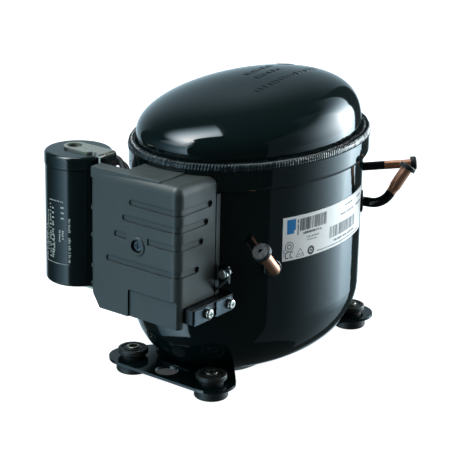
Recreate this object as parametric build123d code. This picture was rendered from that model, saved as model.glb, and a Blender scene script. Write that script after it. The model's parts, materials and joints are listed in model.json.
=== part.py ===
"""Hermetic reciprocating refrigeration compressor, one STEP file per separate piece.

Millimetres. The origin is on the floor at the centre of the four mounting feet, +Z is up, and the
terminal box faces -Y. The motor and pump hang inside the welded shell on four springs.
"""
import os
from math import atan2, cos, radians, sin, tan

from build123d import *

# ---------------------------------------------------------------- driving dimensions
# Mounting feet
foot_pitch_x = 70.0
foot_pitch_y = 170.0
foot_height = 18.0
sleeve_bore_r = 3.2
sleeve_r = 4.3
plate_low_z = 8.6
plate_thickness = 2.0
ear_r = 17.0
grommet_foot_r = 11.8
grommet_neck_r = 7.6
grommet_disc_r = 10.7
grommet_disc_low_z = 13.0
grommet_top_z = 16.9

# Welded shell, elliptical in plan: a is the half width in X, b the half length in Y
shell_y = 1.3
wall = 3.0
bowl_a, bowl_b = 71.0, 96.2
dome_a, dome_b = 68.5, 95.0
rim_a, rim_b = 74.4, 100.5
bowl_bottom_z = 3.2
bowl_corner_r = 46.0
rim_low_z = 145.5
ledge_z = 150.0
rim_top_z = 163.8
bead_top_z = 165.7
dome_top_z = 196.4
dome_slope = 0.106
dome_crown_r = 600.0
dome_corner_r = 25.0

# Terminal box on the -Y end
box_half_width = 37.5
box_front_y = -126.0
box_back_y = -82.0
box_low_z = 60.2
box_top_z = 157.7
box_wall = 2.2
terminal_z = 112.0

# Start capacitor beside the box
can_r = 22.8
can_x, can_y = -67.0, -105.5
can_low_z = 68.0
can_top_z = 151.5
cap_top_z = 160.4

# Pipe stubs
suction_r = 3.5
suction_swage_r = 4.2
discharge_r = 3.1
process_r = 4.0
tube_wall = 0.8

# Pump: the crankshaft turns about Z at the origin and the cylinder points along +Y
cylinder_z = 147.0
bore_r = 16.0
stroke = 14.0
crank_throw = stroke / 2
rod_length = 30.0
shaft_r = 9.0
crankpin_r = 5.5
piston_r = 15.75
piston_hollow_r = 13.8
piston_length = 33.0
piston_crown = 5.0
head_gap = 0.5
barrel_front_y = 24.0
barrel_back_y = 62.5
barrel_r = 23.0
deck_z = 122.0
deck_low_z = 110.0
running_gap = 0.1

# Motor
stator_low_z = 42.0
stator_height = 50.0
stator_half = 50.0
stator_bore_r = 28.6
rotor_r = 28.0
slot_count = 24
slot_low_r = 31.0
slot_high_r = 42.5
winding_height = 12.0
stator_bolt_xy = 42.0

stator_top_z = stator_low_z + stator_height
plate_top_z = plate_low_z + plate_thickness
foot_spots = {
    "front_left": (-foot_pitch_x / 2, -foot_pitch_y / 2),
    "front_right": (foot_pitch_x / 2, -foot_pitch_y / 2),
    "rear_left": (-foot_pitch_x / 2, foot_pitch_y / 2),
    "rear_right": (foot_pitch_x / 2, foot_pitch_y / 2),
}
corner_signs = [(-1, -1), (1, -1), (-1, 1), (1, 1)]


# ---------------------------------------------------------------- small helpers
def cylinder(radius, z_low, z_high, x=0.0, y=0.0):
    """A vertical cylinder between two heights."""
    return Pos(x, y, z_low) * extrude(Circle(radius), z_high - z_low)


def block(x_low, x_high, y_low, y_high, z_low, z_high):
    """A rectangular block between two corners."""
    centre = ((x_low + x_high) / 2, (y_low + y_high) / 2, (z_low + z_high) / 2)
    return Pos(*centre) * Box(x_high - x_low, y_high - y_low, z_high - z_low)


def rod_along(start, direction, radius, length):
    """A cylinder from a start point along a direction."""
    plane = Plane(origin=start, z_dir=direction)
    return plane * extrude(Circle(radius), length)


def ellipse_block(a, b, z_low, z_high):
    """An upright elliptical block on the shell's axis."""
    return Pos(0, shell_y, z_low) * extrude(Ellipse(a, b), z_high - z_low)


def ellipse_ring(a_in, b_in, a_out, b_out, z_low, z_high):
    """An upright elliptical ring on the shell's axis."""
    outer = ellipse_block(a_out, b_out, z_low, z_high)
    return outer - ellipse_block(a_in, b_in, z_low - 1, z_high + 1)


def edges_at_z(part, z):
    """The edges of a part whose centres lie at one height."""
    return [edge for edge in part.edges() if abs(edge.center().Z - z) < 0.01]


def bent_tube(points, radii, outer_r, inner_r):
    """A round tube along straight runs joined by arcs."""
    path = FilletPolyline(*points, radius=radii)
    start = path @ 0
    heading = path % 0
    ring = Plane(origin=start, z_dir=heading) * (Circle(outer_r) - Circle(inner_r))
    return sweep(ring, path=path)


def bend_radii(points, share=0.42):
    """An arc radius for each corner, as large as its shorter run allows."""
    radii = []
    for before, corner, after in zip(points, points[1:], points[2:]):
        back = Vector(*before) - Vector(*corner)
        ahead = Vector(*after) - Vector(*corner)
        turn = radians(180 - back.get_angle(ahead))
        radii.append(share * min(back.length, ahead.length) / tan(turn / 2))
    return radii


def bent_wire(points, radii, radius):
    """A round solid wire along straight runs joined by arcs."""
    path = FilletPolyline(*points, radius=radii)
    disc = Plane(origin=path @ 0, z_dir=path % 0) * Circle(radius)
    return sweep(disc, path=path)


def pan_screw(spot, direction, head_r, head_height, shank_r, shank_length):
    """A pan-head screw with a cross recess; spot is under the head, direction points out of it."""
    plane = Plane(origin=spot, z_dir=direction)
    head = extrude(Circle(head_r), head_height)
    head = fillet(head.edges().group_by(Axis.Z)[-1], head_height * 0.45)
    slot_width = head_r * 0.28
    slot_length = head_r * 1.15
    recess = Pos(0, 0, head_height) * Box(slot_length, slot_width, head_height)
    recess += Pos(0, 0, head_height) * Box(slot_width, slot_length, head_height)
    shank = Pos(0, 0, -shank_length) * extrude(Circle(shank_r), shank_length)
    return plane * (head - recess + shank)


# ---------------------------------------------------------------- shell
def bowl_solid(inset=0.0):
    """The lower shell's shape as a full solid, drawn in by inset."""
    solid = ellipse_block(bowl_a - inset, bowl_b - inset, bowl_bottom_z + inset, ledge_z)
    return fillet(edges_at_z(solid, bowl_bottom_z + inset), bowl_corner_r - inset)


def dome_solid(inset=0.0, low_z=ledge_z):
    """The upper shell's shape as a full solid: crowned, and rising towards +Y."""
    crown_r = dome_crown_r - inset
    tilt = atan2(dome_slope, 1.0)
    centre_y = dome_crown_r * sin(tilt)
    centre_z = dome_top_z - dome_crown_r * cos(tilt)
    column = ellipse_block(dome_a - inset, dome_b - inset, low_z, dome_top_z + 30)
    solid = column & (Pos(0, centre_y, centre_z) * Sphere(crown_r))
    top = solid.faces().sort_by(Axis.Z)[-1]
    return fillet(top.edges(), dome_corner_r - inset)


def shell_envelope(gap):
    """Everything that the welded shell fills, grown by a gap, for trimming what touches it."""
    envelope = ellipse_block(bowl_a + gap, bowl_b + gap, bowl_bottom_z, ledge_z)
    envelope += ellipse_block(rim_a + gap, rim_b + gap, rim_low_z - gap, bead_top_z + gap)
    return envelope


def make_lower_shell():
    """The deep-drawn bowl, with a flared rim that takes the upper shell."""
    rim = ellipse_block(rim_a, rim_b, rim_low_z, rim_top_z)
    rim = fillet(edges_at_z(rim, rim_low_z), 3.0)
    rim = fillet(edges_at_z(rim, rim_top_z), 1.2)
    shell = bowl_solid() + rim
    shell -= ellipse_block(dome_a + 2.9, dome_b + 2.7, ledge_z, rim_top_z + 1)
    shell -= bowl_solid(wall)
    shell -= ellipse_block(bowl_a - wall, bowl_b - wall, rim_low_z - 5, ledge_z + 1)
    shell -= rod_along((0, -80, terminal_z), (0, -1, 0), terminal_cup_r, 30)
    for start, direction, radius in wall_holes:
        shell -= rod_along(start, direction, radius, 30)
    return shell


def make_upper_shell():
    """The pressed dome that closes the shell."""
    return dome_solid() - dome_solid(wall, ledge_z - 1)


def make_weld_bead():
    """The ring of weld that joins the two shells, filling the groove inside the rim."""
    bead = ellipse_ring(dome_a, dome_b, dome_a + 2.9, dome_b + 2.7, rim_top_z - 4, rim_top_z)
    crown = ellipse_ring(dome_a, dome_b, dome_a + 4.7, dome_b + 4.5, rim_top_z, bead_top_z)
    outer_edge = max(edges_at_z(crown, bead_top_z), key=lambda edge: edge.length)
    return bead + fillet(outer_edge, 1.2)


# ---------------------------------------------------------------- feet
def make_base_plate(side):
    """A pressed foot plate, saddle-cut to the bowl and welded under it. side is -1 front, 1 rear."""
    ear_x = foot_pitch_x / 2
    ear_y = foot_pitch_y / 2
    lean = radians(40)
    tangent = (ear_x + ear_r * cos(lean), ear_y - ear_r * sin(lean))
    reach = 40.0
    inner = (tangent[0] - reach * sin(lean), tangent[1] - reach * cos(lean))
    outline = make_face(Polyline(
        (-inner[0], inner[1]), (-tangent[0], tangent[1]), (-ear_x, ear_y), (-ear_x, ear_y + ear_r),
        (ear_x, ear_y + ear_r), (ear_x, ear_y), tangent, inner, close=True))
    for x in (-ear_x, ear_x):
        outline += Pos(x, ear_y) * Circle(ear_r)
    for x in (-ear_x, ear_x):
        outline -= Pos(x, ear_y) * Circle(grommet_neck_r)
    outline -= Pos(0, ear_y + 5.5) * Circle(8.0)
    plate = extrude(outline, plate_thickness)
    rib_y = ear_y - 6.0
    rib = Pos(0, rib_y, plate_thickness) * extrude(SlotOverall(26, 5), 0.9)
    rib_slot = Pos(0, rib_y, -0.1) * extrude(SlotOverall(24, 3), 1.0)
    plate = plate + rib - rib_slot
    if side < 0:
        plate = Rot(0, 0, 180) * plate
    plate = Pos(0, 0, plate_low_z) * plate
    saddle = bowl_solid(-plate_thickness) & block(-30, 30, 28, 72, 1, 12)
    if side < 0:
        saddle = bowl_solid(-plate_thickness) & block(-30, 30, -70, -26, 1, 12)
    return plate + saddle - bowl_solid()


def make_grommet(x, y):
    """A rubber foot that grips the plate: a thick pad below, a grooved disc above, and a bore."""
    foot = cylinder(grommet_foot_r, 0, plate_low_z)
    foot = fillet(edges_at_z(foot, 0), 1.4)
    foot = fillet(edges_at_z(foot, plate_low_z), 0.8)
    neck = cylinder(grommet_neck_r, plate_low_z - 0.5, plate_top_z + 0.5)
    collar = cylinder(grommet_disc_r - 2.0, plate_top_z, grommet_disc_low_z + 0.2)
    disc = cylinder(grommet_disc_r, grommet_disc_low_z, grommet_top_z)
    disc = fillet(edges_at_z(disc, grommet_top_z), 1.1)
    disc = chamfer(edges_at_z(disc, grommet_disc_low_z), 0.6)
    disc -= cylinder(8.0, grommet_top_z - 0.6, foot_height) - cylinder(6.4, 0, foot_height)
    grommet = foot + neck + collar + disc
    grommet -= cylinder(sleeve_r, -1, foot_height + 1)
    return Pos(x, y, 0) * grommet


def make_sleeve(x, y):
    """The steel sleeve that limits how far the bolt squeezes the rubber foot."""
    sleeve = cylinder(sleeve_r, 0, foot_height)
    sleeve = fillet(edges_at_z(sleeve, foot_height), 0.4)
    return Pos(x, y, 0) * (sleeve - cylinder(sleeve_bore_r, -1, foot_height + 1))


# ---------------------------------------------------------------- pipe stubs
# The suction and discharge stubs leave one above the other and fan apart; the process stub leans.
shell_square = Vector(cos(radians(34.6)), sin(radians(34.6)), 0)
suction_bearing = radians(14.0)
suction_out = Vector(cos(suction_bearing), sin(suction_bearing), 0)
discharge_bearing = radians(37.0)
discharge_out = Vector(cos(discharge_bearing), sin(discharge_bearing), 0)
suction_root = Vector(52.5, 65, 107.2)
discharge_root = Vector(42, 79, 127.7)
discharge_rise = radians(5.4)
discharge_dir = discharge_out * cos(discharge_rise) + Vector(0, 0, sin(discharge_rise))
discharge_length = 36.6
process_out = Vector(0.901, -0.434, 0)
process_root = Vector(58.8, -52.3, 89.6)
process_run = 6.2
process_dir = Vector(0.02, -0.691, 0.723).normalized()
process_length = 23.4
terminal_cup_r = 15.0
wall_holes = [
    (suction_root - suction_out * 10, suction_out, suction_r),
    (discharge_root - discharge_dir * 10, discharge_dir, discharge_r),
    (process_root - process_out * 10, process_out, process_r),
]
suction_run = 17.0
suction_rise_length = 30.4
suction_up = Vector(0.292, 0.504, 0.813).normalized()
suction_corner = suction_root + suction_out * suction_run
suction_end = suction_corner + suction_up * suction_rise_length
discharge_end = discharge_root + discharge_dir * discharge_length
process_corner = process_root + process_out * process_run
process_end = process_corner + process_dir * process_length
suction_steel_length = 10.2


def make_suction_tube():
    """The painted steel suction stub, bent upwards outside the shell."""
    steel_end = suction_corner + suction_up * suction_steel_length
    points = [suction_root - suction_out * 5, suction_corner, steel_end]
    return bent_tube(points, [14.0], suction_r, suction_r - tube_wall)


def make_suction_copper():
    """The copper end of the suction stub, swaged larger to take the system's pipe."""
    start = suction_corner + suction_up * suction_steel_length
    plane = Plane(origin=start, z_dir=suction_up)
    length = suction_rise_length - suction_steel_length
    outline = make_face(Polyline(
        (suction_r - tube_wall, 0), (suction_r, 0), (suction_r, 2.5), (suction_swage_r, 6),
        (suction_swage_r, length), (suction_swage_r - tube_wall, length),
        (suction_swage_r - tube_wall, 6), (suction_r - tube_wall, 2.5), close=True))
    return plane * revolve(Plane.XZ * outline, Axis.Z)


def make_discharge_tube(start_share, end_share):
    """A straight length of the discharge stub, between two shares of its full length."""
    start = discharge_root + discharge_dir * (discharge_length * start_share)
    length = discharge_length * (end_share - start_share)
    tube = rod_along(start, discharge_dir, discharge_r, length)
    return tube - rod_along(start - discharge_dir, discharge_dir, discharge_r - tube_wall, length + 2)


def make_process_tube():
    """The copper charging stub, bent sharply up and towards the terminal box outside the shell."""
    points = [process_root - process_out * 6, process_corner, process_end]
    return bent_tube(points, [5.2], process_r, process_r - tube_wall)


def make_collar(root, square, direction, collar_r, tube_r, length):
    """A raised weld boss round a stub, square to the shell and trimmed to it."""
    boss = fillet(edges_at_z(cylinder(collar_r, 0, 6 + length), 6 + length), 1.0)
    boss = Plane(origin=root - square * 6, z_dir=square) * boss
    boss -= rod_along(root - direction * 10, direction, tube_r, 30)
    return boss - bowl_solid()


def make_plug(end, direction, tube_r, flange_r, flange_height):
    """A rubber shipping plug: a flange against the pipe's end and a stem inside it."""
    stem = rod_along(end - direction * 8, direction, tube_r - tube_wall, 8)
    flange = extrude(Circle(flange_r), flange_height)
    flange = fillet(flange.edges().group_by(Axis.Z)[-1], flange_height * 0.3)
    flange -= cylinder(flange_r * 0.24, flange_height - 1.5, flange_height + 1)
    return stem + Plane(origin=end, z_dir=direction) * flange


# ---------------------------------------------------------------- terminal box
def make_terminal_base():
    """The tray behind the cover: a frame that follows the shell, with a shelf inside the lead notch."""
    half = box_half_width - box_wall - 0.4
    low_z = box_low_z + 14.8
    frame = block(-half, half, -96, box_back_y - 0.5, low_z, notch_low_z)
    frame -= block(-half + 3, half - 3, -100, -70, low_z + 3, notch_low_z - 3)
    return frame - shell_envelope(0.3)


cover_top_r = 6.0
cover_corner_r = 6.0
pad_rise = 1.0
pad_right_x, pad_right_y = 19.0, -122.4
seam_y = -87.0
left_rib_heights = (129.4, 110.3, 88.5, 76.0)
notch_low_z = 139.0
notch_right_x = -14.0
notch_front_y = -115.5
clamp_cut_z = 74.7


def make_terminal_cover():
    """The moulded cover: rounded front, four wrap-round grooves, a top pad and a notch for the leads."""
    outline = make_face(Polyline(
        (-box_half_width, box_low_z + 12.0), (7.5 - box_half_width, box_low_z), (box_half_width, box_low_z),
        (box_half_width, box_top_z), (-box_half_width, box_top_z), close=True))
    depth = box_back_y - box_front_y
    shell = Plane(origin=(0, box_back_y, 0), x_dir=(1, 0, 0), z_dir=(0, -1, 0)) * extrude(outline, depth)
    right_edge = shell.edges().filter_by(Axis.Z).sort_by(lambda e: e.center().X - e.center().Y)[-1]
    shell = fillet(right_edge, cover_corner_r)
    left_edge = shell.edges().filter_by(Axis.Z).sort_by(lambda e: -e.center().X - e.center().Y)[-1]
    shell = fillet(left_edge, 2.5)
    top_edges = [e for e in edges_at_z(shell, box_top_z) if e.center().Y < box_back_y - 1]
    shell = fillet([e for e in top_edges if e.center().X > -box_half_width + 3], cover_top_r)
    cavity = block(-box_half_width + box_wall, box_half_width - box_wall, box_front_y + box_wall,
                   box_back_y + 1, box_low_z + box_wall + 12.0, box_top_z - box_wall)
    corner = cavity.edges().filter_by(Axis.Z).sort_by(lambda e: e.center().X - e.center().Y)[-1]
    cavity = fillet(corner, cover_corner_r - box_wall)
    cavity_top = [e for e in edges_at_z(cavity, box_top_z - box_wall) if e.center().Y < box_back_y]
    cavity = fillet([e for e in cavity_top if e.center().X > -box_half_width + 5], cover_top_r - box_wall)
    shell -= cavity
    shell -= block(-26, box_half_width - box_wall - 1, box_front_y + box_wall + 2, box_back_y + 1,
                   box_low_z + box_wall, box_low_z + box_wall + 13)
    pad_outline = make_face(Polyline(
        (-box_half_width, box_back_y), (-box_half_width, box_front_y + 0.2), (pad_right_x, pad_right_y),
        (pad_right_x, box_back_y), close=True))
    pad = Pos(0, 0, box_top_z - 6.5) * extrude(pad_outline, 6.5 + pad_rise)
    pad = fillet([e for e in edges_at_z(pad, box_top_z + pad_rise) if e.center().Y < box_back_y - 1], 0.5)
    cover = shell + pad
    recess = block(-5, box_half_width + 1, box_front_y - 1, box_front_y + 1.5, box_low_z - 1, 79.7)
    cover -= fillet(recess.edges().filter_by(Axis.Y).sort_by(lambda e: e.center().Z - e.center().X)[-1], 1.5)
    for z, left_x, right_y in groove_places:
        cover -= wrap_groove(z, left_x, right_y)
    boss = rod_along((3, box_front_y + 1, 111.8), (0, -1, 0), 6.6, 1.9)
    cover += chamfer(boss.edges().sort_by(Axis.Y)[0], 0.6)
    cover -= rod_along((3, box_front_y + 2.4, 111.8), (0, -1, 0), 4.6, 6)
    cover += rod_along((3, box_front_y + 4.6, 111.8), (0, -1, 0), 5.6, 2.4)
    cover -= rod_along((3, box_front_y + 12, 111.8), (0, -1, 0), 2.0, 20)
    cover -= block(-box_half_width - 3, notch_right_x, notch_front_y, box_back_y + 3, notch_low_z, 170)
    cover -= block(20, box_half_width + 4, -119.5, box_back_y + 3, box_low_z - 3, clamp_cut_z)
    for z in left_rib_heights:
        cover += block(-box_half_width - 1.1, -box_half_width + 1, -124.5, -121.5, z - 1.2, z + 1.2)
    seam = block(-60, 60, seam_y, seam_y + 0.8, 50, 170)
    seam_core = block(-box_half_width + 0.6, box_half_width - 0.6, -110, -70, 50, box_top_z - 0.6)
    seam_corner = [e for e in seam_core.edges().filter_by(Axis.Y) if e.center().X > 0 and e.center().Z > 100]
    seam_core = fillet(seam_corner, cover_top_r)
    cover -= seam - seam_core - block(-60, notch_right_x + 4, -130, -70, notch_low_z - 5, 170)
    lip = Pos(42.6, -85.6, 83.0) * (Rot(0, -43.7, 0) * Box(15.6, 2.4, 1.5))
    cover += lip - block(20, box_half_width - 1, -100, -70, 50, 100)
    return cover - shell_envelope(0.3)


# Each groove: its height, where it starts on the front face and where it ends on the right face
groove_places = [(140.7, -4.0, -91.0), (129.2, -10.0, -95.0), (116.7, -17.0, -100.0), (98.2, -24.0, -104.0)]
groove_width = 4.6
groove_depth = 1.0
groove_pit_r = 1.5


def wrap_groove(z, left_x, right_y):
    """A shallow groove across the front face and round the corner on to the right face."""
    half = groove_width / 2
    low = z - half
    high = z + half
    outer = block(left_x + half, box_half_width + 1, box_front_y - 1, right_y - half, low, high)
    outer += rod_along((left_x + half, box_front_y - 1, z), (0, 1, 0), half, 4)
    outer += rod_along((box_half_width + 1, right_y - half, z), (-1, 0, 0), half, 4)
    core = block(-60, box_half_width - groove_depth, box_front_y + groove_depth, 0, low - 1, high + 1)
    corner = core.edges().filter_by(Axis.Z).sort_by(lambda e: e.center().X - e.center().Y)[-1]
    core = fillet(corner, cover_corner_r - groove_depth)
    groove = outer - core
    groove += rod_along((box_half_width + 1, right_y - half, z), (-1, 0, 0), groove_pit_r, 2.8)
    if left_x < -12 and z > 110:
        groove -= block(-6.5, 11.5, box_front_y - 2, box_front_y + 4, low - 1, high + 1)
    return groove


def make_cover_screw():
    """The screw that holds the cover on."""
    return pan_screw((3, box_front_y + 2.2, 111.8), (0, -1, 0), 3.7, 1.7, 1.9, 4.4)


# Each cord clamp: where its plate begins and ends along Y, and where its screw is
clamp_spots = [(-116.5, -100.0, -103.5), (-94.0, -76.5, -79.8)]
clamp_face_x = 44.0
clamp_screw_z = 68.6
clamp_plate_thickness = 1.2
clamp_screw_length = 2.1


def make_clamp_block():
    """The moulded block under the cover's right side that carries the cord clamps."""
    body = block(22, clamp_face_x, -118.0, -99.0, 63.9, 74.2)
    body += block(37.0, clamp_face_x, -99.0, -74.0, 63.9, 74.2)
    for low_y, high_y, screw_y in clamp_spots:
        body -= rod_along((clamp_face_x + 1, screw_y, clamp_screw_z), (-1, 0, 0), 1.6, clamp_screw_length)
    body = body - shell_envelope(0.3)
    front_corner = [e for e in body.edges().filter_by(Axis.Z) if e.center().Y < -117 and e.center().X > 40]
    return fillet(front_corner, 0.6)


def make_clamp_plate(y_low, y_high, screw_y):
    """One steel saddle plate of a cord clamp, with a rounded corner by its screw."""
    high_x = clamp_face_x + clamp_plate_thickness
    plate = block(clamp_face_x, high_x, y_low, y_high, 63.4, 73.8)
    plate = fillet(plate.edges().filter_by(Axis.X).sort_by(lambda e: e.center().Y + e.center().Z)[-1], 3.0)
    return plate - rod_along((clamp_face_x - 3, screw_y, clamp_screw_z), (1, 0, 0), 1.6, 10)


def make_clamp_screw(screw_y):
    """One pan-head clamp screw, standing a little proud of its plate."""
    under_head = clamp_face_x + clamp_plate_thickness
    return pan_screw((under_head, screw_y, clamp_screw_z), (1, 0, 0), 3.6, 2.9, 1.6, clamp_screw_length)


earth_x, earth_z = 43.6, 90.5


def make_earth_tab():
    """The painted steel earthing tab welded to the shell beside the box."""
    tab = block(38.4, 47.4, -84.2, -82.6, 84.5, 97)
    tab = fillet([e for e in tab.edges().filter_by(Axis.Y) if e.center().Z > 90], 3.0)
    tab -= rod_along((earth_x, -70, earth_z), (0, -1, 0), 2.0, 30)
    return tab - shell_envelope(0.0)


def make_earth_screw():
    """The earthing screw."""
    return pan_screw((earth_x, -84.2, earth_z), (0, -1, 0), 3.6, 2.4, 2.0, 5.0)


# ---------------------------------------------------------------- electrical parts
def make_hermetic_terminal():
    """The steel cup in the shell wall whose glass beads carry the pins."""
    cup = rod_along((0, -86, terminal_z), (0, -1, 0), terminal_cup_r, 11.5)
    cup -= rod_along((0, -97.6, terminal_z), (0, 1, 0), terminal_cup_r - 1.8, 5.5)
    for x, z in pin_spots:
        cup -= rod_along((x, -80, terminal_z + z), (0, -1, 0), 1.2, 30)
    return cup


pin_spots = [(6.5 * sin(radians(angle)), 6.5 * cos(radians(angle))) for angle in (0, 120, 240)]


def make_terminal_pin(x, z):
    """One pin through the hermetic terminal."""
    return rod_along((x, -80, terminal_z + z), (0, -1, 0), 1.2, 30)


def make_start_relay():
    """The plug-on starting relay."""
    relay = block(-19, 19, -119, -100, 98, 128)
    relay = fillet(relay.edges().filter_by(Axis.Y), 2.5)
    for x, z in pin_spots:
        relay -= rod_along((x, -95, terminal_z + z), (0, -1, 0), 1.2, 20)
    return relay


def make_overload():
    """The round thermal overload protector, with its two blade contacts."""
    can = rod_along((-18, -99, 84), (0, -1, 0), 10.5, 13)
    can = fillet(can.edges().sort_by(Axis.Y)[0], 1.5)
    blades = block(-22.5, -21.7, -118, -112, 81, 87) + block(-14.3, -13.5, -118, -112, 81, 87)
    return can + blades


def make_capacitor_can():
    """The moulded capacitor body."""
    can = cylinder(can_r, can_low_z, can_top_z, can_x, can_y)
    can = fillet(edges_at_z(can, can_low_z), 2.5)
    can = chamfer(edges_at_z(can, can_top_z), 0.5)
    return can + cylinder(3.5, can_low_z - 1.6, can_low_z, can_x, can_y)


def make_capacitor_cap():
    """The top cap, a ring slightly wider than the body."""
    cap = cylinder(can_r + 0.5, can_top_z, cap_top_z, can_x, can_y)
    cap = fillet(edges_at_z(cap, cap_top_z), 2.4)
    return fillet(edges_at_z(cap, can_top_z), 0.4)


strap_thickness = 1.5
strap_top_z = cap_top_z + strap_thickness
strap_front_y, strap_back_y = -112.5, -96.0
strap_x = -42.4
strap_end_x = can_x - 3.5


def make_capacitor_bracket():
    """The plated strap: over the capacitor, down beside the box, under the capacitor, back to the shell."""
    top_low = strap_top_z - strap_thickness
    mid_y = (strap_front_y + strap_back_y) / 2
    half_width = (strap_back_y - strap_front_y) / 2
    top = block(strap_end_x, strap_x, strap_front_y, strap_back_y, top_low, strap_top_z)
    top += cylinder(half_width, top_low, strap_top_z, strap_end_x, mid_y)
    top -= cylinder(5.2, top_low - 1, strap_top_z + 1, strap_end_x - 1, mid_y)
    top -= cylinder(4.0, top_low - 1, strap_top_z + 1, strap_x - 7, strap_front_y)
    leg = block(strap_x, strap_x + strap_thickness, strap_front_y, strap_back_y, 64.9, strap_top_z)
    foot = block(can_x - 6, strap_x, strap_front_y, strap_back_y, 64.9, 66.4)
    foot += cylinder(half_width, 64.9, 66.4, can_x - 6, mid_y)
    tail = block(strap_x, strap_x + strap_thickness, strap_back_y, -60, 84, 100)
    bracket = top + leg + foot + tail
    outer_bend = [e for e in bracket.edges().filter_by(Axis.Y)
                  if abs(e.center().X - strap_x - strap_thickness) < 0.1 and e.center().Z > strap_top_z - 0.1]
    bracket = fillet(outer_bend, strap_thickness + 1.2) if outer_bend else bracket
    return bracket - shell_envelope(0.0)


def make_capacitor_leads():
    """The two sleeved leads from the capacitor's cap into the box through the cover's notch."""
    cap = cylinder(can_r + 0.5, can_low_z, cap_top_z, can_x, can_y)
    leads = []
    for step in (0.0, 1.0):
        back = 4.6 * step
        points = [(-52 + step, -92.6 + back, 155.5 - back), (-42, -91.7 + back, 155.2 - back),
                  (-27, -98.5 + back, 141.5)]
        leads.append(bent_wire(points, bend_radii(points), 2.1) - cap)
    return leads


def make_label():
    """The rating plate, wrapped round the +X side of the bowl."""
    ring = ellipse_ring(bowl_a, bowl_b, bowl_a + 0.25, bowl_b + 0.25, 92.7, 123.7)
    low_angle = radians(-28.7)
    high_angle = radians(32.0)
    reach = 1.6
    wedge = make_face(Polyline(
        (0, shell_y), (reach * bowl_a * cos(low_angle), shell_y + reach * bowl_b * sin(low_angle)),
        (reach * bowl_a, shell_y),
        (reach * bowl_a * cos(high_angle), shell_y + reach * bowl_b * sin(high_angle)), close=True))
    return ring & (Pos(0, 0, 90) * extrude(wedge, 40))


# ---------------------------------------------------------------- motor
def make_stator():
    """The laminated stator: a square stack with rounded corners, slots, a bore and four bolt holes."""
    outline = RectangleRounded(2 * stator_half, 2 * stator_half, 9) - Circle(stator_bore_r)
    for index in range(slot_count):
        angle = index * 360 / slot_count
        mid_r = (slot_low_r + slot_high_r) / 2
        slot = Pos(mid_r, 0) * SlotOverall(slot_high_r - slot_low_r, 4.4)
        mouth = Pos(slot_low_r - 1, 0) * Rectangle(6, 1.6)
        outline -= Rot(0, 0, angle) * (slot + mouth)
    for sx, sy in corner_signs:
        outline -= Pos(sx * stator_bolt_xy, sy * stator_bolt_xy) * Circle(2.6)
    return Pos(0, 0, stator_low_z) * extrude(outline, stator_height)


def make_windings():
    """The copper winding: a crown above, a crown below and a leg in each slot."""
    crown = Circle(slot_high_r) - Circle(slot_low_r)
    low = Pos(0, 0, stator_low_z - winding_height) * extrude(crown, winding_height)
    low = fillet([e for e in edges_at_z(low, stator_low_z - winding_height)], 3.0)
    high = Pos(0, 0, stator_top_z) * extrude(crown, winding_height)
    high = fillet([e for e in edges_at_z(high, stator_top_z + winding_height)], 3.0)
    winding = low + high
    mid_r = (slot_low_r + slot_high_r) / 2
    for index in range(slot_count):
        leg = Pos(mid_r, 0) * SlotOverall(slot_high_r - slot_low_r - 0.6, 3.8)
        leg = Pos(0, 0, stator_low_z - 1) * extrude(leg, stator_height + 2)
        winding += Rot(0, 0, index * 360 / slot_count) * leg
    return winding


def make_stator_bolt(sx, sy):
    """One long bolt from under the stator up into the cylinder block."""
    x = sx * stator_bolt_xy
    y = sy * stator_bolt_xy
    head = cylinder(4.8, stator_low_z - 4, stator_low_z, x, y)
    return head + cylinder(2.4, stator_low_z, deck_low_z + 6, x, y)


def make_rotor():
    """The cast squirrel-cage rotor with its end rings, pressed on the shaft."""
    stack = cylinder(rotor_r, stator_low_z, stator_top_z)
    ring_low = cylinder(rotor_r - 0.8, stator_low_z - 4, stator_low_z) - cylinder(19, 0, 200)
    ring_high = cylinder(rotor_r - 0.8, stator_top_z, stator_top_z + 4) - cylinder(19, 0, 200)
    return stack + ring_low + ring_high - cylinder(shaft_r, 0, 200)


# ---------------------------------------------------------------- suspension
spring_low_z = 25.0
spring_high_z = stator_low_z
spring_wire_r = 0.9
spring_r = 6.6


def make_spring(sx, sy):
    """One suspension spring."""
    turns_height = spring_high_z - spring_low_z - 2 * spring_wire_r
    coil = Helix(pitch=turns_height / 3.5, height=turns_height, radius=spring_r)
    disc = Plane(origin=coil @ 0, z_dir=coil % 0) * Circle(spring_wire_r)
    wire = sweep(disc, path=coil, is_frenet=True)
    return Pos(sx * stator_bolt_xy, sy * stator_bolt_xy, spring_low_z + spring_wire_r) * wire


def make_spring_seat(sx, sy):
    """One seat welded to the bowl, with a peg inside its spring."""
    x = sx * stator_bolt_xy
    y = sy * stator_bolt_xy
    seat = cylinder(8.4, 8, spring_low_z, x, y) + cylinder(4.6, spring_low_z, spring_low_z + 6, x, y)
    return seat & bowl_solid(wall)


# ---------------------------------------------------------------- pump
def along_y(radius, y_low, y_high, x=0.0, z=cylinder_z):
    """A cylinder lying along +Y between two places."""
    return rod_along((x, y_low, z), (0, 1, 0), radius, y_high - y_low)


head_half = 25.0
head_screw_offset = 20.0
head_screw_spots = [(sx * head_screw_offset, cylinder_z + sz * head_screw_offset) for sx, sz in corner_signs]
gasket_y = barrel_back_y
reed_y = gasket_y + 0.5
valve_y = reed_y + 0.3
head_gasket_y = valve_y + 3.0
head_y = head_gasket_y + 0.7
head_back_y = head_y + 12.0


def head_sheet(y_low, y_high):
    """A square sheet of the head stack with its four screw holes."""
    sheet = block(-head_half, head_half, y_low, y_high, cylinder_z - head_half, cylinder_z + head_half)
    sheet = fillet(sheet.edges().filter_by(Axis.Y), 5.0)
    for x, z in head_screw_spots:
        sheet -= along_y(2.1, y_low - 1, y_high + 1, x, z)
    return sheet


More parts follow.
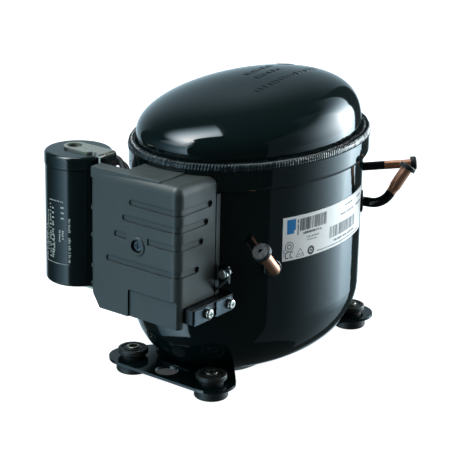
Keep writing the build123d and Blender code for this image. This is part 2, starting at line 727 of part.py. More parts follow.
def make_cylinder_block():
    """The cast-iron block: deck, bearing hub, cylinder barrel and four legs on the stator."""
    deck = Pos(0, 0, deck_low_z) * extrude(RectangleRounded(98, 98, 9), deck_z - deck_low_z)
    hub = cylinder(16.0, stator_top_z + 6, deck_z)
    barrel = along_y(barrel_r, barrel_front_y, barrel_back_y)
    pedestal = block(-18, 18, barrel_front_y, barrel_back_y, deck_z - 1, cylinder_z)
    flange = block(-head_half, head_half, barrel_back_y - 7, barrel_back_y, cylinder_z - head_half,
                   cylinder_z + head_half)
    flange = fillet(flange.edges().filter_by(Axis.Y), 5.0)
    casting = deck + hub + barrel + pedestal + flange
    for sx, sy in corner_signs:
        x = sx * stator_bolt_xy
        y = sy * stator_bolt_xy
        casting += cylinder(7.0, stator_top_z, deck_low_z, x, y)
        casting -= cylinder(2.4, stator_top_z - 1, deck_low_z + 6, x, y)
    casting -= along_y(bore_r, barrel_front_y - 1, barrel_back_y + 1)
    casting -= cylinder(shaft_r + running_gap, 0, deck_z + 1)
    for x, z in head_screw_spots:
        casting -= along_y(2.1, barrel_back_y - 6, barrel_back_y + 1, x, z)
    return casting


def make_barrel_gasket():
    """The gasket between the barrel and the suction reed."""
    return head_sheet(gasket_y, reed_y) - along_y(bore_r + 0.5, gasket_y - 1, reed_y + 1)


def make_suction_reed():
    """The suction reed: a spring-steel sheet with a tongue cut free inside the bore."""
    sheet = head_sheet(reed_y, valve_y)
    window = block(-7, 7, reed_y - 1, valve_y + 1, cylinder_z - 13, cylinder_z + 9)
    tongue = block(-4.5, 4.5, reed_y - 1, valve_y + 1, cylinder_z - 8, cylinder_z + 10)
    return sheet - (window - tongue)


suction_port_z = cylinder_z - 4.0
discharge_port_z = cylinder_z + 11.5


def make_valve_plate():
    """The valve plate with its suction and discharge ports."""
    plate = head_sheet(valve_y, head_gasket_y)
    plate -= along_y(3.2, valve_y - 1, head_gasket_y + 1, 0, suction_port_z)
    return plate - along_y(2.6, valve_y - 1, head_gasket_y + 1, 0, discharge_port_z)


def make_discharge_reed():
    """The discharge reed on the head side of the valve plate."""
    low_z = discharge_port_z - 3.5
    return block(-14, 4.2, head_gasket_y, head_gasket_y + 0.35, low_z, low_z + 7.0)


def head_chambers(y_low, y_high):
    """The two chambers of the cylinder head: suction below, discharge above."""
    low = block(-15, 15, y_low, y_high, cylinder_z - 15, cylinder_z + 2)
    high = block(-16, 16, y_low, y_high, cylinder_z + 5, cylinder_z + 17.5)
    return low + high


def make_head_gasket():
    """The gasket under the cylinder head."""
    return head_sheet(head_gasket_y, head_y) - head_chambers(head_gasket_y - 1, head_y + 1)


def make_cylinder_head():
    """The cast cylinder head with its two chambers and the suction inlet."""
    head = head_sheet(head_y, head_back_y) - head_chambers(head_y - 1, head_y + 8)
    return head - rod_along((-10, muffler_duct_y, muffler_duct_z), (-1, 0, 0), 3.2, 30)


muffler_duct_y = head_y + 4.3
muffler_duct_z = cylinder_z - 4.0


def make_head_screw(x, z):
    """One head screw."""
    head = along_y(4.0, head_back_y, head_back_y + 3.2, x, z)
    return head + along_y(2.1, barrel_back_y - 6, head_back_y, x, z)


def make_suction_muffler():
    """The plastic suction muffler beside the barrel, with its duct to the head."""
    body = block(-46.5, -27.0, 20, 57, deck_z, 170)
    body = fillet(body.edges().filter_by(Axis.Z), 5.0)
    body = fillet(body.faces().sort_by(Axis.Z)[-1].edges(), 3.0)
    duct = bent_wire([(-31, 56, muffler_duct_z), (-31, muffler_duct_y, muffler_duct_z),
                      (-head_half, muffler_duct_y, muffler_duct_z)], [4.5], 3.2)
    return body + duct


def make_discharge_muffler():
    """The small pressed discharge muffler on the block's deck."""
    can = cylinder(12.5, deck_z, 143, 36, 20)
    return fillet(edges_at_z(can, 143), 4.0)


def make_discharge_line():
    """The looped steel line from the discharge muffler to the shell's discharge stub."""
    inner_end = discharge_root - discharge_dir * 6.2
    turn = inner_end - discharge_dir * 9
    points = [(36, 20, 143), (36, 20, 172), (36, -34, 172), (47, -34, 150), (56, 10, 140),
              (50.5, 52, 129.0), tuple(turn), tuple(inner_end)]
    return bent_wire(points, bend_radii(points, 0.3), 2.2)


pin_low_z = 130.5


def make_crankshaft():
    """The shaft, its counterweighted web and the eccentric crankpin."""
    shaft = cylinder(shaft_r, 24, deck_z + 1.0)
    throat = extrude(Circle(13) + Pos(0, crank_throw) * Circle(9.5), pin_low_z - deck_z - 1.0)
    weight = Circle(20.5) & (Pos(0, -15) * Rectangle(60, 30))
    web = throat + extrude(weight, pin_low_z - deck_z - 1.0)
    pin = cylinder(crankpin_r, pin_low_z, 154.5, 0, crank_throw)
    shaft = shaft + Pos(0, 0, deck_z + 1.0) * web + pin
    return shaft - cylinder(3.0, 20, 60)


def make_thrust_washer():
    """The washer between the deck and the crank web."""
    return cylinder(13, deck_z, deck_z + 0.8) - cylinder(shaft_r + running_gap, deck_z - 1, deck_z + 2)


def make_oil_pickup():
    """The tapered tube that lifts oil from the sump into the shaft."""
    outline = make_face(Polyline(
        (1.6, 9.5), (2.8, 9.5), (6.5, 24), (6.5, 34), (3.0, 34), (3.0, 24), close=True))
    return revolve(Plane.XZ * outline, Axis.Z) & cylinder(7, 9, 24)


def make_connecting_rod():
    """The connecting rod: a big end on the crankpin and a small end inside the piston."""
    half = 5.5
    big = cylinder(10.0, cylinder_z - half, cylinder_z + half, 0, crank_throw)
    small = cylinder(5.5, cylinder_z - 5, cylinder_z + 5, 0, crank_throw + rod_length)
    shank = block(-4, 4, crank_throw + 5, crank_throw + rod_length - 2, cylinder_z - 3.5, cylinder_z + 3.5)
    rod = big + small + shank
    rod -= cylinder(crankpin_r + running_gap, 100, 190, 0, crank_throw)
    return rod - cylinder(3.0, 100, 190, 0, crank_throw + rod_length)


def make_wrist_pin():
    """The wrist pin, held in the small end."""
    return cylinder(3.0, cylinder_z - 8.5, cylinder_z + 8.5, 0, crank_throw + rod_length)


def make_piston():
    """The piston at top dead centre, hollow from the crank side, with its wrist-pin holes."""
    crown_y = barrel_back_y - head_gap
    skirt_y = crown_y - piston_length
    piston = along_y(piston_r, skirt_y, crown_y)
    piston -= along_y(piston_hollow_r, skirt_y - 1, crown_y - piston_crown)
    return piston - cylinder(3.0, 120, 175, 0, crank_throw + rod_length)


# ---------------------------------------------------------------- write every piece
def all_parts():
    """Every node's name with its solid, or its group of identical solids."""
    parts = {
        "lower_shell": make_lower_shell(),
        "upper_shell": make_upper_shell(),
        "weld_bead": make_weld_bead(),
        "front_base_plate": make_base_plate(-1),
        "rear_base_plate": make_base_plate(1),
        "mounting_sleeves": [make_sleeve(x, y) for x, y in foot_spots.values()],
        "suction_tube": make_suction_tube(),
        "suction_copper": make_suction_copper(),
        "suction_collar": make_collar(suction_root, shell_square, suction_out, 8.0, suction_r, 1.8),
        "suction_plug": make_plug(suction_end, suction_up, suction_swage_r, 6.2, 3.2),
        "discharge_tube": make_discharge_tube(-0.14, 0.48),
        "discharge_copper": make_discharge_tube(0.48, 1.0),
        "discharge_plug": make_plug(discharge_end, discharge_dir, discharge_r, 5.0, 4.4),
        "process_tube": make_process_tube(),
        "process_collar": make_collar(process_root, process_out, process_out, 6.6, process_r, 3.0),
        "process_plug": make_plug(process_end, process_dir, process_r, 6.6, 3.4),
        "terminal_box_base": make_terminal_base(),
        "terminal_cover": make_terminal_cover(),
        "cover_screw": make_cover_screw(),
        "cord_clamp_block": make_clamp_block(),
        "cord_clamp_plates": [make_clamp_plate(*spot) for spot in clamp_spots],
        "cord_clamp_screws": [make_clamp_screw(spot[2]) for spot in clamp_spots],
        "earth_tab": make_earth_tab(),
        "earth_screw": make_earth_screw(),
        "hermetic_terminal": make_hermetic_terminal(),
        "terminal_pins": [make_terminal_pin(x, z) for x, z in pin_spots],
        "start_relay": make_start_relay(),
        "overload_protector": make_overload(),
        "capacitor_can": make_capacitor_can(),
        "capacitor_cap": make_capacitor_cap(),
        "capacitor_bracket": make_capacitor_bracket(),
        "capacitor_leads": make_capacitor_leads(),
        "rating_label": make_label(),
        "stator": make_stator(),
        "stator_windings": make_windings(),
        "stator_bolts": [make_stator_bolt(sx, sy) for sx, sy in corner_signs],
        "rotor": make_rotor(),
        "suspension_springs": [make_spring(sx, sy) for sx, sy in corner_signs],
        "spring_seats": [make_spring_seat(sx, sy) for sx, sy in corner_signs],
        "cylinder_block": make_cylinder_block(),
        "barrel_gasket": make_barrel_gasket(),
        "suction_reed": make_suction_reed(),
        "valve_plate": make_valve_plate(),
        "discharge_reed": make_discharge_reed(),
        "head_gasket": make_head_gasket(),
        "cylinder_head": make_cylinder_head(),
        "head_screws": [make_head_screw(x, z) for x, z in head_screw_spots],
        "suction_muffler": make_suction_muffler(),
        "discharge_muffler": make_discharge_muffler(),
        "discharge_line": make_discharge_line(),
        "crankshaft": make_crankshaft(),
        "thrust_washer": make_thrust_washer(),
        "oil_pickup": make_oil_pickup(),
        "connecting_rod": make_connecting_rod(),
        "wrist_pin": make_wrist_pin(),
        "piston": make_piston(),
    }
    for name, (x, y) in foot_spots.items():
        parts["grommet_" + name] = make_grommet(x, y)
    return parts


if __name__ == "__main__":
    os.makedirs("parts", exist_ok=True)
    for name, piece in all_parts().items():
        solids = piece if isinstance(piece, list) else [piece]
        shape = Compound(children=[solid for group in solids for solid in group.solids()])
        export_step(shape, "parts/" + name + ".step")
        print(name, len(shape.solids()), round(shape.volume / 1000, 2), "cm3")
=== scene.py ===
"""Looks for the hermetic compressor: finishes, fine surface shapes, studio light and camera.

Metres, in the CAD frame: the origin is on the floor between the four feet and the terminal box
faces -Y. Sizes given in millimetres are multiplied by MM.
"""
import json
import math
import random

import bpy
import numpy as np
from mathutils import Matrix, Vector


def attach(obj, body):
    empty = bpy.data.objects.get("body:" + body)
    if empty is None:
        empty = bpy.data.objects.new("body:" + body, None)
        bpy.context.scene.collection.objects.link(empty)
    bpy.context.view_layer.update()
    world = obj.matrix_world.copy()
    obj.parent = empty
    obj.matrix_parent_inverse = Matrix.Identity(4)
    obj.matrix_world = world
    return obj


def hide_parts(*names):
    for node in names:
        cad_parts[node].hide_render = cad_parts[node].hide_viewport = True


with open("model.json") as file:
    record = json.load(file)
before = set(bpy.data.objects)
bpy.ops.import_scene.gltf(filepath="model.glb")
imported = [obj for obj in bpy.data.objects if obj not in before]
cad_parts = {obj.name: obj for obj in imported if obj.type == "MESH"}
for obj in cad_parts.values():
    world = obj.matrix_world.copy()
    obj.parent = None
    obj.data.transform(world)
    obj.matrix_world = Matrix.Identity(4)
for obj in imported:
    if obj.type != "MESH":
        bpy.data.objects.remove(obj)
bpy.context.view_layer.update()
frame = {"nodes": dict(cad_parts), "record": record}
nodes = frame["nodes"]

MM = 0.001
SHELL_BODY = "shell"

# ---------------------------------------------------------------- camera and studio
CAMERA_SPOT = Vector((0.6916, -0.9368, 0.4896))
CAMERA_AZIMUTH = 0.647
CAMERA_ELEVATION = 0.331
CAMERA_ROLL = 0.023
CAMERA_LENS = 134.5
STUDIO_CENTRE = Vector((0.0, 0.0, 0.1))
STUDIO_RADIUS = 3.0


def make_camera():
    """The camera, turned about Z, tipped down and rolled a little."""
    data = bpy.data.cameras.new("camera")
    data.lens = CAMERA_LENS
    data.sensor_width = 36.0
    data.clip_start = 0.05
    camera = bpy.data.objects.new("camera", data)
    turn = Matrix.Rotation(CAMERA_AZIMUTH, 4, "Z")
    tip = Matrix.Rotation(math.pi / 2 - CAMERA_ELEVATION, 4, "X")
    roll = Matrix.Rotation(CAMERA_ROLL, 4, "Z")
    camera.matrix_world = Matrix.Translation(CAMERA_SPOT) @ turn @ tip @ roll
    bpy.context.scene.collection.objects.link(camera)
    bpy.context.scene.camera = camera


def direction(azimuth, elevation):
    """The unit vector at an azimuth from +X and an elevation, both in degrees."""
    a = math.radians(azimuth)
    e = math.radians(elevation)
    return Vector((math.cos(a) * math.cos(e), math.sin(a) * math.cos(e), math.sin(e)))


def grid_faces(rows, columns, start=0, close_columns=True, close_rows=False):
    """Quads over a grid of points stored row by row."""
    faces = []
    for i in range(rows if close_rows else rows - 1):
        for j in range(columns if close_columns else columns - 1):
            a = start + i * columns + j
            b = start + i * columns + (j + 1) % columns
            c = start + ((i + 1) % rows) * columns + (j + 1) % columns
            d = start + ((i + 1) % rows) * columns + j
            faces.append((a, b, c, d))
    return faces


def panel_material(name, dim_tint, bright_tint, peak, hot_spot, reach, power):
    """A clear emitter that fades from a hot spot: by a power of the azimuth's share, smoothly in elevation.

    Being clear it adds to whatever softbox is behind it.
    """
    material = bpy.data.materials.new(name)
    material.use_nodes = True
    tree = material.node_tree
    tree.nodes.clear()
    place = tree.nodes.new("ShaderNodeTexCoord")
    split = tree.nodes.new("ShaderNodeSeparateXYZ")
    tree.links.new(place.outputs["UV"], split.inputs["Vector"])

    def calculate(operation, first, second):
        node = tree.nodes.new("ShaderNodeMath")
        node.operation = operation
        for socket, value in zip(node.inputs, (first, second)):
            if isinstance(value, (int, float)):
                socket.default_value = value
            else:
                tree.links.new(value, socket)
        return node.outputs["Value"]

    shares = []
    for axis in range(2):
        off = calculate("SUBTRACT", split.outputs[axis], hot_spot[axis])
        distance = calculate("ABSOLUTE", off, 0.0)
        fade = tree.nodes.new("ShaderNodeMapRange")
        fade.interpolation_type = "SMOOTHSTEP" if axis else "LINEAR"
        fade.inputs["From Min"].default_value = reach[axis]
        fade.inputs["From Max"].default_value = 0.0
        tree.links.new(distance, fade.inputs["Value"])
        shares.append(fade.outputs["Result"])
    glow = calculate("MULTIPLY", calculate("POWER", shares[0], power), shares[1])
    tint = tree.nodes.new("ShaderNodeMix")
    tint.data_type = "RGBA"
    tint.inputs["A"].default_value = (*dim_tint, 1.0)
    tint.inputs["B"].default_value = (*bright_tint, 1.0)
    emitter = tree.nodes.new("ShaderNodeEmission")
    clear = tree.nodes.new("ShaderNodeBsdfTransparent")
    both = tree.nodes.new("ShaderNodeAddShader")
    out = tree.nodes.new("ShaderNodeOutputMaterial")
    tree.links.new(glow, tint.inputs["Factor"])
    tree.links.new(tint.outputs["Result"], emitter.inputs["Color"])
    tree.links.new(calculate("MULTIPLY", glow, peak), emitter.inputs["Strength"])
    tree.links.new(emitter.outputs["Emission"], both.inputs[0])
    tree.links.new(clear.outputs["BSDF"], both.inputs[1])
    tree.links.new(both.outputs["Shader"], out.inputs["Surface"])
    return material


def make_panel(name, corners, tints, peak, hot_spot, reach, power=1.0, radius=STUDIO_RADIUS):
    """A softbox on the studio's sphere, facing its centre. corners are four (azimuth, elevation) pairs."""
    steps = 14
    vertices = []
    angles = []
    (a0, e0), (a1, e1), (a2, e2), (a3, e3) = corners
    for i in range(steps + 1):
        t = i / steps
        for j in range(steps + 1):
            s = j / steps
            azimuth = (a0 * (1 - s) + a1 * s) * (1 - t) + (a3 * (1 - s) + a2 * s) * t
            elevation = (e0 * (1 - s) + e1 * s) * (1 - t) + (e3 * (1 - s) + e2 * s) * t
            angles.append((azimuth, elevation))
            vertices.append(STUDIO_CENTRE + direction(azimuth, elevation) * radius)
    mesh = bpy.data.meshes.new(name)
    mesh.from_pydata(vertices, [], grid_faces(steps + 1, steps + 1, 0, False))
    layer = mesh.uv_layers.new(name="angles")
    for loop in mesh.loops:
        layer.uv[loop.index].vector = angles[loop.vertex_index]
    mesh.materials.append(panel_material(name, *tints, peak, hot_spot, reach, power))
    panel = bpy.data.objects.new(name, mesh)
    panel.visible_camera = False
    bpy.context.scene.collection.objects.link(panel)
    return panel


def make_world():
    """White to the camera and nearly dark to the object, whose light comes from the softboxes."""
    world = bpy.data.worlds.new("studio")
    bpy.context.scene.world = world
    world.use_nodes = True
    tree = world.node_tree
    tree.nodes.clear()
    path = tree.nodes.new("ShaderNodeLightPath")
    dark = tree.nodes.new("ShaderNodeBackground")
    dark.inputs["Color"].default_value = (0.8, 0.95, 1.0, 1.0)
    dark.inputs["Strength"].default_value = 0.05
    white = tree.nodes.new("ShaderNodeBackground")
    white.inputs["Color"].default_value = (1.0, 1.0, 1.0, 1.0)
    white.inputs["Strength"].default_value = 1.2
    mix = tree.nodes.new("ShaderNodeMixShader")
    out = tree.nodes.new("ShaderNodeOutputWorld")
    tree.links.new(path.outputs["Is Camera Ray"], mix.inputs["Fac"])
    tree.links.new(dark.outputs["Background"], mix.inputs[1])
    tree.links.new(white.outputs["Background"], mix.inputs[2])
    tree.links.new(mix.outputs["Shader"], out.inputs["Surface"])


FLOOR_HALF = 8.0
FLOOR_GLOW = 0.98
# Centre and radius of a painted shadow on the floor: a dark pool under the hole in the front foot plate.
SHADOW_POOL_SPOT = (-0.016, -0.069, 0.0)
SHADOW_POOL_RADIUS = 0.019


def make_floor():
    """A plain white floor with a painted shadow: its glow dims to near dark in a pool under the front foot
    plate.
    """
    corners = [(x * FLOOR_HALF, y * FLOOR_HALF, 0) for x, y in ((-1, -1), (1, -1), (1, 1), (-1, 1))]
    mesh = bpy.data.meshes.new("floor")
    mesh.from_pydata(corners, [], [(0, 1, 2, 3)])
    floor = bpy.data.objects.new("floor", mesh)
    material = bpy.data.materials.new("floor_white")
    material.use_nodes = True
    tree = material.node_tree
    shader = tree.nodes["Principled BSDF"]
    shader.inputs["Base Color"].default_value = (0.30, 0.30, 0.30, 1.0)
    shader.inputs["Roughness"].default_value = 0.9
    shader.inputs["Specular IOR Level"].default_value = 0.0
    shader.inputs["Emission Color"].default_value = (1.0, 1.0, 1.0, 1.0)
    place = tree.nodes.new("ShaderNodeTexCoord")
    squeeze = tree.nodes.new("ShaderNodeMapping")
    squeeze.vector_type = "TEXTURE"
    squeeze.inputs["Location"].default_value = SHADOW_POOL_SPOT
    squeeze.inputs["Scale"].default_value = (SHADOW_POOL_RADIUS, SHADOW_POOL_RADIUS, 1.0)
    # Painted shadow: the floor's glow falls to nearly nothing towards the middle of the pool.
    painted_shadow = tree.nodes.new("ShaderNodeTexGradient")
    painted_shadow.gradient_type = "SPHERICAL"
    glow = tree.nodes.new("ShaderNodeMapRange")
    glow.interpolation_type = "SMOOTHSTEP"
    glow.inputs["From Min"].default_value = 0.05
    glow.inputs["From Max"].default_value = 0.35
    glow.inputs["To Min"].default_value = FLOOR_GLOW
    glow.inputs["To Max"].default_value = 0.04
    tree.links.new(place.outputs["Object"], squeeze.inputs["Vector"])
    tree.links.new(squeeze.outputs["Vector"], painted_shadow.inputs["Vector"])
    tree.links.new(painted_shadow.outputs["Fac"], glow.inputs["Value"])
    tree.links.new(glow.outputs["Result"], shader.inputs["Emission Strength"])
    mesh.materials.append(material)
    floor.visible_glossy = False
    floor.visible_diffuse = False
    floor.visible_shadow = False
    floor.location.z = -0.0002
    bpy.context.scene.collection.objects.link(floor)


def make_studio():
    """A window-like softbox on the right, a tall one in front that leans overhead, and a backdrop.

    Each softbox has four corners, its two tints, its peak, its hot spot, its reach and its power.
    """
    teal = (0.42, 0.76, 1.0)
    cool = (0.62, 0.86, 1.0)
    neutral = (1.0, 1.0, 0.99)
    warm = (1.0, 0.86, 0.74)
    even = (900, 900)
    right = ((cool, neutral), 18.5, (70, 8), (56, 38), 2.7)
    make_panel("softbox_right", ((86, -31), (8, -31), (8, 15), (86, 15)), *right)
    make_panel("softbox_right_top", ((86, 15), (8, 15), (8, 48), (112, 46)), *right)
    make_panel(
        "softbox_right_low", ((86, -52), (8, -52), (8, -8), (86, -8)), (cool, cool), 1.3,
        (74, -12), (64, 42), 1.5, STUDIO_RADIUS * 1.02)
    make_panel(
        "softbox_right_spill", ((86, -52), (-2, -52), (-2, 36), (86, 58)), (cool, cool), 0.13,
        (20, 20), even, 1.0, STUDIO_RADIUS * 1.05)
    make_panel(
        "softbox_overhead", ((-108, 34), (-225, 34), (-225, 78), (-120, 70)), (cool, neutral), 16.5,
        (-150, 69), (125, 23), 1.0)
    make_panel(
        "softbox_lean", ((-89, 14), (-150, 14), (-150, 70), (-104, 62)), (cool, neutral), 7.0,
        (-113, 55), (42, 33), 1.0, STUDIO_RADIUS * 1.02)
    make_panel(
        "softbox_front", ((-88, -24), (-168, -24), (-168, 56), (-93, 54)), (teal, cool), 4.2,
        (-90, 5), (90, 70), 3.0, STUDIO_RADIUS * 1.04)
    make_panel(
        "softbox_front_low", ((-88, -43), (-148, -43), (-148, -24), (-88, -24)), (teal, cool), 4.0,
        (-98, -26), (58, 90), 1.0, STUDIO_RADIUS * 1.04)
    make_panel(
        "backdrop", ((108, -40), (172, -40), (172, 40), (108, 40)), (cool, cool), 1.25,
        (143, -8), (60, 50), 0.6, STUDIO_RADIUS * 1.06)
    fill = make_panel(
        "fill_right", ((70, 10), (5, 10), (5, 50), (70, 50)), (warm, warm), 1.1,
        (38, 30), even, 1.0, STUDIO_RADIUS * 1.1)
    fill.visible_glossy = False
    make_world()
    make_floor()
    bpy.context.scene.view_settings.view_transform = "Standard"


# ---------------------------------------------------------------- finishes
class Finish:
    """A principled material under construction, with textures placed in the CAD frame."""

    def __init__(self, name, colour, roughness, metallic=0.0, **sockets):
        self.material = bpy.data.materials.new(name)
        self.material.use_nodes = True
        self.tree = self.material.node_tree
        self.shader = self.tree.nodes["Principled BSDF"]
        self.colour = (*colour, 1.0)
        self.shader.inputs["Base Color"].default_value = self.colour
        self.shader.inputs["Roughness"].default_value = roughness
        self.shader.inputs["Metallic"].default_value = metallic
        for socket, value in sockets.items():
            self.shader.inputs[socket.replace("_", " ")].default_value = value
        self.place = self.tree.nodes.new("ShaderNodeTexCoord").outputs["Object"]
        self.normal = None

    def link(self, source, target):
        self.tree.links.new(source, target)

    def noise(self, scale, detail=3.0, roughness=0.5, stretch=(1.0, 1.0, 1.0)):
        """A noise pattern with about scale features to the metre."""
        squeeze = self.tree.nodes.new("ShaderNodeMapping")
        squeeze.inputs["Scale"].default_value = stretch
        node = self.tree.nodes.new("ShaderNodeTexNoise")
        node.inputs["Scale"].default_value = scale
        node.inputs["Detail"].default_value = detail
        node.inputs["Roughness"].default_value = roughness
        self.link(self.place, squeeze.inputs["Vector"])
        self.link(squeeze.outputs["Vector"], node.inputs["Vector"])
        return node.outputs["Fac"]

    def corners(self, distance):
        """A painted shade mask from ambient occlusion: high in grooves and inner corners no wider than a
        distance in metres.
        """
        node = self.tree.nodes.new("ShaderNodeAmbientOcclusion")
        node.samples = 8
        node.inputs["Distance"].default_value = distance
        return self.stretch(node.outputs["AO"], 0.45, 0.92, 1.0, 0.0)

    def soften_edges(self, radius):
        """Shades sharp edges as if they were rounded to a radius in metres."""
        node = self.tree.nodes.new("ShaderNodeBevel")
        node.samples = 6
        node.inputs["Radius"].default_value = radius
        self.normal = node.outputs["Normal"]
        return self

    def cells(self, scale):
        """A Voronoi pattern's distance, with about scale cells to the metre."""
        node = self.tree.nodes.new("ShaderNodeTexVoronoi")
        node.inputs["Scale"].default_value = scale
        self.link(self.place, node.inputs["Vector"])
        return node.outputs["Distance"]

    def stretch(self, source, low, high, out_low=0.0, out_high=1.0):
        """Maps low..high of a pattern to out_low..out_high, clamped."""
        node = self.tree.nodes.new("ShaderNodeMapRange")
        node.inputs["From Min"].default_value = low
        node.inputs["From Max"].default_value = high
        node.inputs["To Min"].default_value = out_low
        node.inputs["To Max"].default_value = out_high
        self.link(source, node.inputs["Value"])
        return node.outputs["Result"]

    def tint(self, pattern, other):
        """Blends towards another colour where the pattern is high."""
        mix = self.tree.nodes.new("ShaderNodeMix")
        mix.data_type = "RGBA"
        already = self.shader.inputs["Base Color"].links
        if already:
            self.link(already[0].from_socket, mix.inputs["A"])
        else:
            mix.inputs["A"].default_value = self.colour
        mix.inputs["B"].default_value = (*other, 1.0)
        self.link(pattern, mix.inputs["Factor"])
        self.link(mix.outputs["Result"], self.shader.inputs["Base Color"])
        return self

    def vary_roughness(self, pattern, low, high):
        self.link(self.stretch(pattern, 0.3, 0.7, low, high), self.shader.inputs["Roughness"])
        return self

    def bump(self, pattern, height):
        """Raises the surface by up to a height in metres, on top of any earlier bump."""
        node = self.tree.nodes.new("ShaderNodeBump")
        node.inputs["Strength"].default_value = 1.0
        node.inputs["Distance"].default_value = height
        self.link(pattern, node.inputs["Height"])
        if self.normal is not None:
            self.link(self.normal, node.inputs["Normal"])
        self.normal = node.outputs["Normal"]
        self.link(self.normal, self.shader.inputs["Normal"])
        return self


def enamel(name, colour=(0.0016, 0.006, 0.006), roughness=0.045):
    """Black stoving enamel: mirror gloss, faint orange peel, a few dust nibs."""
    paint = Finish(name, colour, roughness, IOR=1.5)
    peel = paint.noise(260.0, 2.0)
    paint.bump(peel, 5e-6)
    haze = paint.noise(35.0, 4.0)
    paint.vary_roughness(haze, roughness * 0.7, roughness * 1.7)
    nibs = paint.cells(190.0)
    paint.bump(paint.stretch(nibs, 0.0, 0.07, 1.0, 0.0), 3e-5)
    return paint.material


def weld_enamel():
    """The same enamel lying thinly over the rough weld."""
    paint = Finish("weld_enamel", (0.004, 0.009, 0.0095), 0.11)
    paint.bump(paint.noise(1100.0, 4.0), 6e-5)
    paint.vary_roughness(paint.noise(500.0, 3.0), 0.07, 0.2)
    paint.tint(paint.stretch(paint.noise(420.0, 5.0), 0.56, 0.75), (0.03, 0.036, 0.038))
    return paint.material


def moulded(name, colour, other, roughness, grain_height=1.2e-5, grain_scale=2600.0):
    """Matt moulded plastic: fine spark-eroded grain, slow flow marks and painted shade in the grooves."""
    plastic = Finish(name, colour, roughness)
    flow = plastic.noise(28.0, 4.0, 0.6)
    plastic.tint(plastic.stretch(flow, 0.35, 0.75), other)
    plastic.vary_roughness(plastic.noise(90.0, 5.0), roughness - 0.07, roughness + 0.07)
    # Painted shade: the colour darkens to a quarter of itself in grooves and inner corners.
    plastic.tint(plastic.corners(0.0025), tuple(share * 0.25 for share in colour))
    plastic.soften_edges(0.0005)
    plastic.bump(plastic.noise(grain_scale, 3.0), grain_height)
    return plastic.material


def capacitor_black():
    """Satin black phenolic with faint vertical draw marks."""
    plastic = Finish("capacitor_black", (0.003, 0.008, 0.008), 0.15)
    plastic.vary_roughness(plastic.noise(220.0, 4.0, 0.5, (1, 1, 0.06)), 0.11, 0.2)
    plastic.bump(plastic.noise(500.0, 3.0, 0.5, (1, 1, 0.1)), 6e-6)
    plastic.tint(plastic.stretch(plastic.noise(60.0, 5.0), 0.5, 0.8), (0.008, 0.014, 0.014))
    return plastic.material


def rubber(name, colour, other, roughness=0.62):
    """Moulded rubber with bloom and a soft grain."""
    skin = Finish(name, colour, roughness)
    skin.tint(skin.stretch(skin.noise(120.0, 6.0, 0.65), 0.42, 0.72), other)
    skin.vary_roughness(skin.noise(260.0, 4.0), roughness - 0.12, roughness + 0.12)
    skin.bump(skin.noise(1800.0, 4.0), 2.5e-5)
    return skin.material


def drawn_copper():
    """Satin drawn copper, darkened in patches by handling."""
    metal = Finish("copper", (0.76, 0.39, 0.25), 0.36, 1.0)
    metal.tint(metal.stretch(metal.noise(150.0, 5.0, 0.6), 0.4, 0.8), (0.62, 0.30, 0.18))
    metal.tint(metal.stretch(metal.noise(900.0, 3.0), 0.55, 0.85), (0.52, 0.25, 0.15))
    metal.vary_roughness(metal.noise(300.0, 4.0), 0.3, 0.46)
    metal.bump(metal.noise(2200.0, 2.0), 1.2e-5)
    return metal.material


def plated(name, colour, other, roughness=0.3, stretch=(1.0, 1.0, 1.0)):
    """Zinc-plated or plain steel, cloudy in colour and gloss, with fine rolling marks."""
    metal = Finish(name, colour, roughness, 1.0)
    metal.tint(metal.stretch(metal.noise(90.0, 5.0, 0.6), 0.38, 0.68), other)
    metal.vary_roughness(metal.noise(260.0, 5.0, 0.6, stretch), roughness - 0.08, roughness + 0.14)
    metal.bump(metal.noise(1500.0, 4.0, 0.5, stretch), 1.0e-5)
    return metal.material


def cast_metal(name, colour, other, roughness=0.55):
    """Sand-cast metal with a pebbled skin."""
    metal = Finish(name, colour, roughness, 0.85)
    metal.tint(metal.stretch(metal.noise(180.0, 5.0, 0.6), 0.4, 0.7), other)
    metal.bump(metal.noise(900.0, 6.0, 0.6), 1.2e-4)
    metal.vary_roughness(metal.noise(400.0, 4.0), roughness - 0.1, roughness + 0.15)
    return metal.material


def laminated(name, colour, other):
    """Stacked electrical steel: fine horizontal sheets."""
    metal = Finish(name, colour, 0.4, 0.9)
    sheets = metal.noise(2000.0, 1.0, 0.5, (0.02, 0.02, 1.0))
    metal.tint(metal.stretch(sheets, 0.4, 0.6), other)
    metal.bump(sheets, 8e-5)
    metal.vary_roughness(metal.noise(200.0, 4.0), 0.32, 0.55)
    return metal.material


def wound_copper():
    """Bundled enamelled wire, laced round the crown."""
    wire = Finish("winding", (0.45, 0.16, 0.06), 0.3, 0.6)
    strands = wire.noise(1400.0, 2.0, 0.5, (1.0, 1.0, 0.25))
    wire.tint(wire.stretch(strands, 0.42, 0.62), (0.18, 0.05, 0.02))
    wire.bump(strands, 3e-4)
    wire.vary_roughness(wire.noise(500.0, 3.0), 0.22, 0.42)
    return wire.material


def label_film():
    """White printed film, slightly glossy, not quite flat."""
    film = Finish("label_film", (0.96, 0.93, 0.90), 0.32)
    film.tint(film.stretch(film.noise(60.0, 4.0), 0.4, 0.75), (0.92, 0.90, 0.87))
    film.bump(film.noise(120.0, 2.0), 2e-5)
    film.vary_roughness(film.noise(300.0, 3.0), 0.26, 0.4)
    return film.material


def printed(name, colour, other, roughness=0.4):
    """A printed ink with slightly uneven cover."""
    ink = Finish(name, colour, roughness)
    ink.tint(ink.stretch(ink.noise(1600.0, 3.0), 0.45, 0.7), other)
    ink.vary_roughness(ink.noise(600.0, 2.0), roughness - 0.08, roughness + 0.1)
    return ink.material


